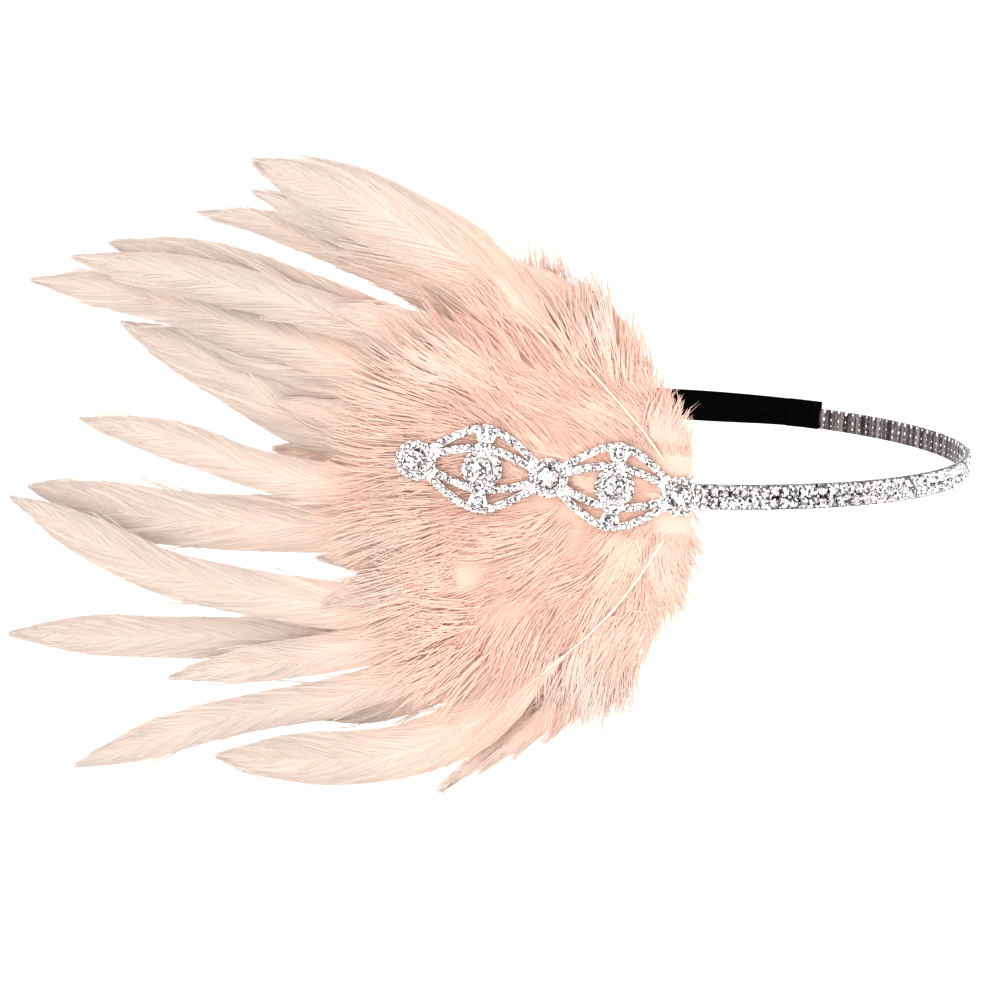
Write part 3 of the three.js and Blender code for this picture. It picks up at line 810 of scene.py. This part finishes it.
def add_barbs(bm, feather, count, points, thick, clump, spread, wisps, reaches=(0.95, 1.06)):
    """Single barbs on both sides of the shaft, drawn together in small locks towards their ends. A
    share of the locks, given as wisps, stands out loosely past the vane's edge."""
    for side in (-1, 1):
        locks, at = [], 0.0
        while at < 1:
            step = chance.uniform(0.6, 1.5) * clump / feather.length
            loose = chance.uniform(0.2, 0.6) if chance.random() < wisps else 0.0
            locks.append((at, at + step, chance.uniform(0.9, 1.06), chance.uniform(0.2, 0.8), loose))
            at += step
        for i in range(count):
            share = (i + chance.uniform(-0.4, 0.4)) / count
            start = feather.bare + (0.99 - feather.bare) * min(1.0, max(0.0, share))
            lock = next((k for k in locks if k[0] <= start < k[1]), locks[-1])
            middle = 0.5 * (lock[0] + lock[1])
            reach = lock[2] * chance.uniform(*reaches) + lock[4] * chance.uniform(0.3, 1.0)
            taper = 0.4 if lock[4] else 0.75
            reach *= 1 - 0.4 * chance.random() * ease(start, 0.84, 0.97)
            shift = (middle - start) * lock[3]
            wave = chance.uniform(-1, 1) * spread
            lift = chance.uniform(-0.15, 0.2)
            shade = chance.uniform(-0.08, 0.08)
            strand = []
            for j in range(points):
                t = j / (points - 1)
                place = feather.barb_place(min(0.999, start + shift * t * t), side, t, reach)
                place.x += wave * t * t
                place.y += wave * 0.6 * t * t * side
                place.z += 0.14 + lift * t
                strand.append((place, feather.tone_at(place) + 0.16 * t + shade,
                               thick * (1 - taper * t * t)))
            draw_strand(bm, strand)


def add_shaft(bm, feather, start, thick, over=0.0, points=14):
    """The feather's shaft. Up to the share given as over it lies bare on top of the down."""
    strand = []
    for j in range(points):
        s = start + (0.93 - start) * j / (points - 1)
        place = feather.place(s, 0)
        place.z += 0.25
        if s < over:
            place.z = plume_front(place.x, place.y) + 0.3
        strand.append((place, s, thick * max(0.0, 1 - s / 0.6) + 0.14 * (1 - s) + 0.05))
    draw_strand(bm, strand)


def new_strand_net(*layers):
    bm = bmesh.new()
    for name in layers:
        bm.verts.layers.float.new(name)
    return bm


def spin_strands(name, bm, material, flatness):
    """Gives every drawn line a body: a three-sided strand, flattened in the plane of the vane."""
    tree = bpy.data.node_groups.new("strand_bodies", "GeometryNodeTree")
    tree.interface.new_socket("Geometry", in_out="INPUT", socket_type="NodeSocketGeometry")
    tree.interface.new_socket("Geometry", in_out="OUTPUT", socket_type="NodeSocketGeometry")
    kinds = {"start": "NodeGroupInput", "end": "NodeGroupOutput", "curve": "GeometryNodeMeshToCurve",
             "normal": "GeometryNodeSetCurveNormal", "half": "GeometryNodeInputNamedAttribute",
             "ring": "GeometryNodeCurvePrimitiveCircle", "squash": "GeometryNodeTransform",
             "body": "GeometryNodeCurveToMesh"}
    made = {key: tree.nodes.new(kind) for key, kind in kinds.items()}
    made["normal"].mode = "Z_UP"
    made["half"].data_type = "FLOAT"
    made["half"].inputs["Name"].default_value = "half"
    made["ring"].inputs["Resolution"].default_value = 3
    made["ring"].inputs["Radius"].default_value = 1.0
    made["squash"].inputs["Scale"].default_value = (flatness, 1, 1)
    made["squash"].inputs["Rotation"].default_value = (0, 0, -math.pi / 2)
    made["body"].inputs["Fill Caps"].default_value = True
    joins = [("start", 0, "curve", 0), ("curve", 0, "normal", 0), ("normal", 0, "body", "Curve"),
             ("half", 0, "body", "Scale"), ("ring", 0, "squash", 0), ("squash", 0, "body", "Profile Curve"),
             ("body", 0, "end", 0)]
    for source, output, target, socket in joins:
        tree.links.new(made[source].outputs[output], made[target].inputs[socket])
    drawn = new_piece(name + "_lines", bm, material)
    drawn.modifiers.new("bodies", "NODES").node_group = tree
    depsgraph = bpy.context.evaluated_depsgraph_get()
    mesh = bpy.data.meshes.new_from_object(drawn.evaluated_get(depsgraph), preserve_all_data_layers=True,
                                           depsgraph=depsgraph)
    bpy.data.objects.remove(drawn)
    mesh.name = name
    mesh.transform(Matrix.Scale(mm, 4) @ Matrix.Rotation(math.radians(90), 4, "X"))
    mesh.materials.clear()
    mesh.materials.append(material)
    piece = bpy.data.objects.new(name, mesh)
    bpy.context.scene.collection.objects.link(piece)
    return piece


def close_webs(name, bm, material, thickness):
    bmesh.ops.solidify(bm, geom=bm.faces[:], thickness=thickness)
    bmesh.ops.recalc_face_normals(bm, faces=bm.faces)
    bmesh.ops.transform(bm, matrix=Matrix.Scale(mm, 4) @ Matrix.Rotation(math.radians(90), 4, "X"),
                        verts=bm.verts)
    return new_piece(name, bm, material, smooth=True)


# Dyed feather keratin: matte and soft, peach near the root and paler towards the thin ends. Light
# passes through a single layer. The web shows its barbs as fine lines 0.4 mm apart, and the many
# small facets of the fluff are shaded as one soft face by leaning their normals straight out.
def dyed_feather(name, with_barb_lines, dyes):
    material = new_material(name)
    tone = add_node(material, "ShaderNodeAttribute", {"attribute_name": "tone"})
    coords = add_node(material, "ShaderNodeTexCoord")
    cloud = add_node(material, "ShaderNodeTexNoise", {"Scale": 60.0, "Detail": 2.0},
                     Vector=coords.outputs["Object"])
    uneven = add_node(material, "ShaderNodeMath", {"operation": "MULTIPLY_ADD", 1: 0.5, 2: -0.25},
                      i0=cloud.outputs["Fac"])
    shade = add_node(material, "ShaderNodeMath", {"operation": "ADD"}, i0=tone.outputs["Fac"],
                     i1=uneven.outputs[0])
    shape = add_node(material, "ShaderNodeNewGeometry")
    leaned = add_node(material, "ShaderNodeVectorMath", {"operation": "MULTIPLY", 1: (1, 4, 1)},
                      i0=shape.outputs["Normal"])
    soft = add_node(material, "ShaderNodeVectorMath", {"operation": "NORMALIZE"}, i0=leaned.outputs[0])
    facing = soft.outputs[0]
    if with_barb_lines:
        barb = add_node(material, "ShaderNodeAttribute", {"attribute_name": "barb"})
        across = add_node(material, "ShaderNodeAttribute", {"attribute_name": "across"})
        stretch = add_node(material, "ShaderNodeCombineXYZ", X=barb.outputs["Fac"], Y=across.outputs["Fac"])
        lines = add_node(material, "ShaderNodeTexNoise", {"Scale": 2.5, "Detail": 3.0, "Roughness": 0.6},
                         Vector=stretch.outputs[0])
        streak = add_node(material, "ShaderNodeMath", {"operation": "MULTIPLY_ADD", 1: 0.2, 2: -0.1},
                          i0=lines.outputs["Fac"])
        shade = add_node(material, "ShaderNodeMath", {"operation": "ADD"}, i0=shade.outputs[0],
                         i1=streak.outputs[0])
        relief = add_node(material, "ShaderNodeBump", {"Strength": 0.08, "Distance": 0.0002},
                          Height=lines.outputs["Fac"], Normal=facing)
        facing = relief.outputs["Normal"]
    colour = add_node(material, "ShaderNodeValToRGB", {"stops": list(zip((0, 0.45, 0.75, 1), dyes))},
                      Fac=shade.outputs[0])
    keratin = add_node(material, "ShaderNodeBsdfPrincipled",
                       {"Roughness": 0.8, "Specular IOR Level": 0.2, "Sheen Weight": 0.25,
                        "Sheen Roughness": 0.4},
                       Base_Color=colour.outputs["Color"], Normal=facing)
    through = add_node(material, "ShaderNodeBsdfTranslucent", Color=colour.outputs["Color"], Normal=facing)
    surface = add_node(material, "ShaderNodeMixShader", {0: 0.55}, i1=keratin.outputs[0],
                       i2=through.outputs[0])
    return finish_material(material, surface.outputs[0])


# Painted shade: the web's dyes are darker than the barbs' of the same keratin. This offsets the extra light
# that its flat, outward-facing sheet catches.
web_feather = dyed_feather("dyed_feather_vane", True, ("#FADCCA", "#F2D0BF", "#E6CDBE", "#D9CBC2"))
barb_feather = dyed_feather("dyed_feather_barbs", False, ("#FEE2D1", "#FBDFD1", "#F2E0D5", "#E7DAD1"))

# Long hackles, front of the list highest on the plume: middle line from the root outwards in x and
# z millimetres, width, share of the plume's depth at the root and at the tip, start of the vane.
hackle_rows = [
    ([(16, 6), (3, 25), (-17, 46), (-48, 68), (-100, 88)], 19, (1.0, 0.6), 0.3),
    ([(17, 4), (-20, 33), (-50, 52), (-93, 69), (-119, 73)], 9, (0.2, 0.15), 0.2),
    ([(17, 4), (-8, 22), (-52, 40), (-77, 49), (-100, 56), (-123, 61), (-142, 64.5)], 14, (0.6, 0.45), 0.2),
    ([(17, 4), (-8, 20), (-50, 38), (-95, 52), (-150, 61)], 12, (0.5, 0.7), 0.2),
    ([(17, 3), (-8, 16), (-45, 27), (-89, 38), (-118, 46), (-141, 50.5), (-167, 53)], 12, (0.55, 0.3), 0.2),
    ([(17, 2), (-20, 9), (-58, 11), (-89, 17), (-112, 29), (-142, 42)], 16, (0.25, 0.15), 0.2),
    ([(17, 1), (-20, -1), (-58, -1), (-98, 4), (-118, 10), (-149, 16.5)], 12, (0.7, 0.75), 0.2),
    ([(17, 0), (-12, -2), (-44, -8), (-92, -13), (-134, -13), (-169.5, -6)], 17, (0.4, 0.35), 0.2),
    ([(16, -4), (-8, -20), (-35, -30), (-77, -33.5), (-125, -28), (-171, -7)], 14, (0.75, 0.65), 0.2),
    ([(16, -4), (-8, -24), (-35, -36), (-74, -44), (-120, -48), (-176, -50)], 13, (0.55, 0.45), 0.2),
    ([(16, -4), (-8, -22), (-40, -34), (-72, -46), (-126, -59)], 12, (0.8, 0.7), 0.2),
    ([(16, -5), (-12, -30), (-45, -48), (-74, -61), (-117, -74), (-157, -90)], 12, (0.45, 0.5), 0.2),
    ([(16, -5), (-4, -28), (-29, -47), (-63, -64), (-96, -71)], 12, (0.2, 0.2), 0.2),
    ([(17, -6), (6, -24), (-5, -37), (-29, -59), (-48, -71), (-74, -79), (-113, -82.5)], 16,
     (1.0, 0.65), 0.28),
    ([(16, 5), (2, 23), (-18, 42), (-50, 61), (-101, 80)], 11, (0.8, 0.5), 0.3),
    ([(16, 5), (-4, 22), (-28, 40), (-58, 57), (-91, 75)], 10, (0.45, 0.4), 0.3),
    ([(17, 2), (-20, 13), (-58, 25), (-95, 35), (-128, 44)], 16, (0.3, 0.2), 0.2),
    ([(16, 0), (-20, 7), (-50, 12), (-74, 17), (-96, 22)], 15, (0.35, 0.3), 0.2),
    ([(16, -1), (-18, -10), (-48, -19), (-66, -22), (-84, -22)], 12, (0.4, 0.35), 0.2),
    ([(15, -6), (2, -30), (-16, -56), (-47, -89)], 8.5, (0.5, 0.45), 0.3),
    ([(15, -6), (4, -30), (-10, -54), (-35, -81)], 8, (0.6, 0.6), 0.3),
    ([(15, -6), (6, -28), (-4, -50), (-26, -76)], 7, (0.7, 0.6), 0.3),
    ([(15, -6), (8, -26), (0, -46), (-17, -72)], 7, (0.5, 0.4), 0.3),
]
hackles = []
for index, (points, width, layers, bare) in enumerate(hackle_rows):
    hackles.append(Feather(points, width, layers, bare=bare, camber=0.1, ripple=1.2, slant=4.2,
                           tone=chance.uniform(-0.08, 0.08), twist=chance.uniform(-0.12, 0.12), seed=index))

# Shorter hackles and body feathers fill the fan between them.
fillers = []
filler_count = 26
for index in range(filler_count):
    angle = math.radians(-54 + 106 * index / (filler_count - 1) + chance.uniform(-4, 4))
    reach = chance.uniform(88, 124) * (1.0 - 0.42 * abs(math.sin(angle)) ** 1.5)
    bow = chance.uniform(-0.06, 0.06) + 0.06 * math.sin(angle)
    ahead = Vector((-math.cos(angle), math.sin(angle)))
    above = Vector((math.sin(angle), math.cos(angle)))
    points = [Vector((root_x, 0)) + ahead * reach * s + above * 4 * bow * s * (1 - s) * reach
              for s in (0.05, 0.3, 0.55, 0.8, 1.0)]
    layer = chance.uniform(0.1, 0.85)
    fillers.append(Feather(points, chance.uniform(13, 18), (layer, layer), bare=0.24, camber=0.12,
                           blunt=34, ripple=2.0, slant=3.6, tone=chance.uniform(-0.1, 0.1),
                           twist=chance.uniform(-0.15, 0.15), seed=40 + index))

webs = new_strand_net("tone", "barb", "across")
long_barbs = new_strand_net("tone", "half")
short_barbs = new_strand_net("tone", "half")
shafts = new_strand_net("tone", "half")
barb_half = 0.2
for feather in hackles:
    loose = feather.width < 9
    add_web(webs, feather, max(24, round(feather.length / 2.4)), 3, 0.5 if loose else 0.95)
    add_barbs(long_barbs, feather, round(feather.length / 1.1), 5, barb_half, 5.0,
              1.8 if loose else 0.6, 0.16)
    on_top = feather.layers[0] == 1.0
    add_shaft(shafts, feather, 0.04 if on_top else 0.4, 0.42 if on_top else 0.12, 0.29 if on_top else 0.0)
for feather in fillers:
    add_web(webs, feather, max(18, round(feather.length / 3.2)), 3, 0.92)
    add_barbs(short_barbs, feather, round(feather.length / 1.5), 5, barb_half, 5.0, 0.8, 0.14,
              (0.85, 1.12))
    add_shaft(shafts, feather, 0.3, 0.25)

# Down: fluffy hairs in soft locks, in overlapping rounds over the feathers' roots. They part from the
# row of crystals and turn outwards at the plume's edge. Reach in mm by degrees above straight back.
down_reach = [(-100, 15), (-96, 17), (-90, 26), (-83, 36), (-80, 48), (-77, 60), (-70, 70), (-62, 78),
              (-53, 88), (-40, 93), (-15, 94), (15, 92), (40, 87), (57, 77), (66, 66), (71, 55), (74, 47),
              (76, 37), (82, 25), (88, 17), (92, 12), (100, 9)]


def reach_at(degrees):
    for (a, low), (b, high) in zip(down_reach, down_reach[1:]):
        if a <= degrees <= b:
            return low + (high - low) * (degrees - a) / (b - a)
    return down_reach[0][1]


def add_hair(bm, root, heading, length, bend, thick, level, lift, shade, points=4):
    """One hair: it leaves its root at x and z, bends to one side and rises towards its tip."""
    ahead = Vector((-math.cos(heading), math.sin(heading)))
    above = Vector((math.sin(heading), math.cos(heading)))
    strand = []
    for j in range(points):
        t = j / (points - 1)
        place = root + ahead * length * t + above * bend * t * t
        front = plume_front(place.x, place.y)
        out = plume_back + (front - plume_back) * level + lift * t
        tone = ease((place - Vector((root_x, 0))).length, 10, 150) + shade + 0.1 * t
        strand.append(((place.x, place.y, min(out, front - 0.1)), tone, thick * (1 - 0.85 * t**3)))
    draw_strand(bm, strand)


# The two feathers on top lie open from here on, so the down stays lower near their middle lines.
vane_open_from = 24
top_vanes = [point for feather in hackles[:14] if feather.layers[0] == 1.0
             for point in feather.line[vane_open_from:]]
down_hairs = [new_strand_net("tone", "half") for _ in range(3)]
hair_half = 0.21
rim_hair_half = 0.09
golden_share = 0.6180339887
lock_count = 420
hairs_in_lock = 32
rim_hair_count = 520
for index in range(lock_count):
    degrees = -97 + 184 * ((index * golden_share) % 1.0)
    limit = reach_at(degrees)
    ring = chance.random() ** 0.62
    length = chance.uniform(9, 15) * (0.55 + 0.75 * ring * limit / 70)
    away = max(0.0, limit - 0.85 * length) * ring
    angle = math.radians(degrees)
    middle = Vector((root_x - 2 - away * math.cos(angle), away * math.sin(angle)))
    turned = (0.3 if degrees > 0 else 0.2) * ring * abs(degrees) / 90
    swirl = noise.noise(Vector((middle.x / 17, middle.y / 17, 7.0)))
    swirl *= 14 if degrees > 66 else 46
    heading = math.radians(degrees * (1.03 + turned) + swirl + chance.uniform(-12, 12))
    level = chance.choice((chance.uniform(0.84, 1.0), chance.uniform(0.84, 1.0), chance.uniform(0.3, 0.84)))
    if min((middle - point).length for point in top_vanes) < 8:
        level *= 0.6
    bend = chance.uniform(-0.22, 0.22)
    lift = chance.uniform(0.2, 0.9)
    shade = chance.uniform(-0.2, 0.16) + 0.4 * ease(abs(degrees), 40, 78)
    spread = chance.uniform(2.8, 5.6)
    side = Vector((math.sin(heading), math.cos(heading)))
    front = Vector((-math.cos(heading), math.sin(heading)))
    for i in range(hairs_in_lock):
        off = chance.uniform(-1, 1)
        root = middle + side * off * spread + front * chance.uniform(-0.3, 0.3) * length
        turn = heading + math.radians(10 * off + chance.uniform(-6, 6))
        run = length * chance.uniform(0.65, 1.1)
        add_hair(down_hairs[index % 3], root, turn, run, bend * run - 0.3 * off * spread, hair_half,
                 level + chance.uniform(-0.02, 0.01), lift * chance.uniform(0.8, 1.2),
                 shade + chance.uniform(-0.03, 0.03))

# Single long hairs stand out thinly all round the down's edge.
rim_hairs = new_strand_net("tone", "half")
for index in range(rim_hair_count):
    degrees = chance.uniform(-97, 86)
    limit = reach_at(degrees)
    angle = math.radians(degrees)
    away = limit * chance.uniform(0.8, 0.95)
    root = Vector((root_x - 2 - away * math.cos(angle), away * math.sin(angle)))
    turned = (0.45 if degrees > 0 else 0.2) * abs(degrees) / 90
    heading = math.radians(degrees * (1.03 + turned) + chance.uniform(-14, 14))
    run = chance.uniform(6, 14) * (0.7 if degrees < 0 else 1.0)
    add_hair(rim_hairs, root, heading, run, chance.uniform(-2.5, 2.5), rim_hair_half,
             chance.uniform(0.2, 0.95),
             chance.uniform(-0.5, 1.0), chance.uniform(-0.1, 0.3), 5)

# Under the locks the roots' fluff lies matted in one soft bed.
down_bed = new_strand_net("tone", "barb", "across")
bmesh.ops.create_grid(down_bed, x_segments=150, y_segments=64, size=0.5)
for vert in down_bed.verts:
    degrees = -86 + 166 * (vert.co.x + 0.5)
    away = (vert.co.y + 0.5) * max(4.0, 0.9 * reach_at(degrees) - 8)
    angle = math.radians(degrees)
    x, z = root_x - 4 - away * math.cos(angle), away * math.sin(angle)
    room = plume_front(x, z) - plume_back
    lump_and_painted_shade = noise.noise(Vector((x / 11, z / 11, 4.0))) + 0.35 * noise.noise(Vector((x / 3, z / 3, 9.0)))
    rim = ease(vert.co.y, 0.2, 0.5)
    # Painted shade: the bed's colour follows its lumps, lighter where it rises and darker where it sinks
    # between them.
    vert[down_bed.verts.layers.float["tone"]] = 0.42 + 0.05 * rim - 0.15 * lump_and_painted_shade
    vert.co = Vector((x, z, plume_back + room * (0.86 + 0.09 * lump_and_painted_shade - 0.12 * rim)))

# The quill's cream shaft is bare at the root, hard and slightly glossy, and darker at its very end.
quill = new_material("cream_quill")
tone = add_node(quill, "ShaderNodeAttribute", {"attribute_name": "tone"})
colour = add_node(quill, "ShaderNodeValToRGB", {"stops": ((0, "#EDD5B4"), (0.35, "#EFCEB9"))},
                  Fac=tone.outputs["Fac"])
surface = add_node(quill, "ShaderNodeBsdfPrincipled", {"Roughness": 0.55, "IOR": 1.45},
                   Base_Color=colour.outputs["Color"])
finish_material(quill, surface.outputs[0])

plume_pieces = [
    close_webs("hackle_webs", webs, web_feather, 0.12),
    spin_strands("long_hackle_barbs", long_barbs, barb_feather, 0.2),
    spin_strands("short_hackle_barbs", short_barbs, barb_feather, 0.2),
    spin_strands("quills", shafts, quill, 0.8),
    close_webs("down_bed", down_bed, web_feather, 0.6),
    spin_strands("down_hairs_1", down_hairs[0], barb_feather, 0.3),
    spin_strands("down_hairs_2", down_hairs[1], barb_feather, 0.3),
    spin_strands("down_hairs_3", down_hairs[2], barb_feather, 0.3),
    spin_strands("rim_hairs", rim_hairs, barb_feather, 0.6),
]

# Binding: the quills' ends are pressed and glued in a flat round of peach felt on the band.
bm = bmesh.new()
bmesh.ops.create_cone(bm, cap_ends=True, segments=40, radius1=5.2, radius2=5.2, depth=1.2)
bmesh.ops.bevel(bm, geom=[e for e in bm.edges if abs(e.verts[0].co.z - e.verts[1].co.z) < 0.01],
                offset=0.4, affect="EDGES", segments=3, profile=0.5, material=-1)
for vert in bm.verts:
    vert.co *= 1 + 0.02 * noise.noise(vert.co)
    vert.co = Vector((root_x + vert.co.x, -(plume_back + 0.7) + vert.co.z, vert.co.y)) * mm
bmesh.ops.recalc_face_normals(bm, faces=bm.faces)
felt = new_material("peach_felt")
coords = add_node(felt, "ShaderNodeTexCoord")
fibres = add_node(felt, "ShaderNodeTexNoise", {"Scale": 1500.0, "Detail": 6.0, "Roughness": 0.7},
                  Vector=coords.outputs["Object"])
colour = add_node(felt, "ShaderNodeValToRGB", {"stops": ((0, "#E9AF8E"), (1, "#FBD3BB"))},
                  Fac=fibres.outputs["Fac"])
relief = add_node(felt, "ShaderNodeBump", {"Strength": 0.6, "Distance": 0.0002},
                  Height=fibres.outputs["Fac"])
surface = add_node(felt, "ShaderNodeBsdfPrincipled", {"Roughness": 1.0, "Sheen Weight": 0.3},
                   Base_Color=colour.outputs["Color"], Normal=relief.outputs["Normal"])
finish_material(felt, surface.outputs[0])
plume_pieces.append(new_piece("felt_binding", bm, felt, smooth=True))
for piece in plume_pieces:
    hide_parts("feather_plume")
    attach(piece, "root")
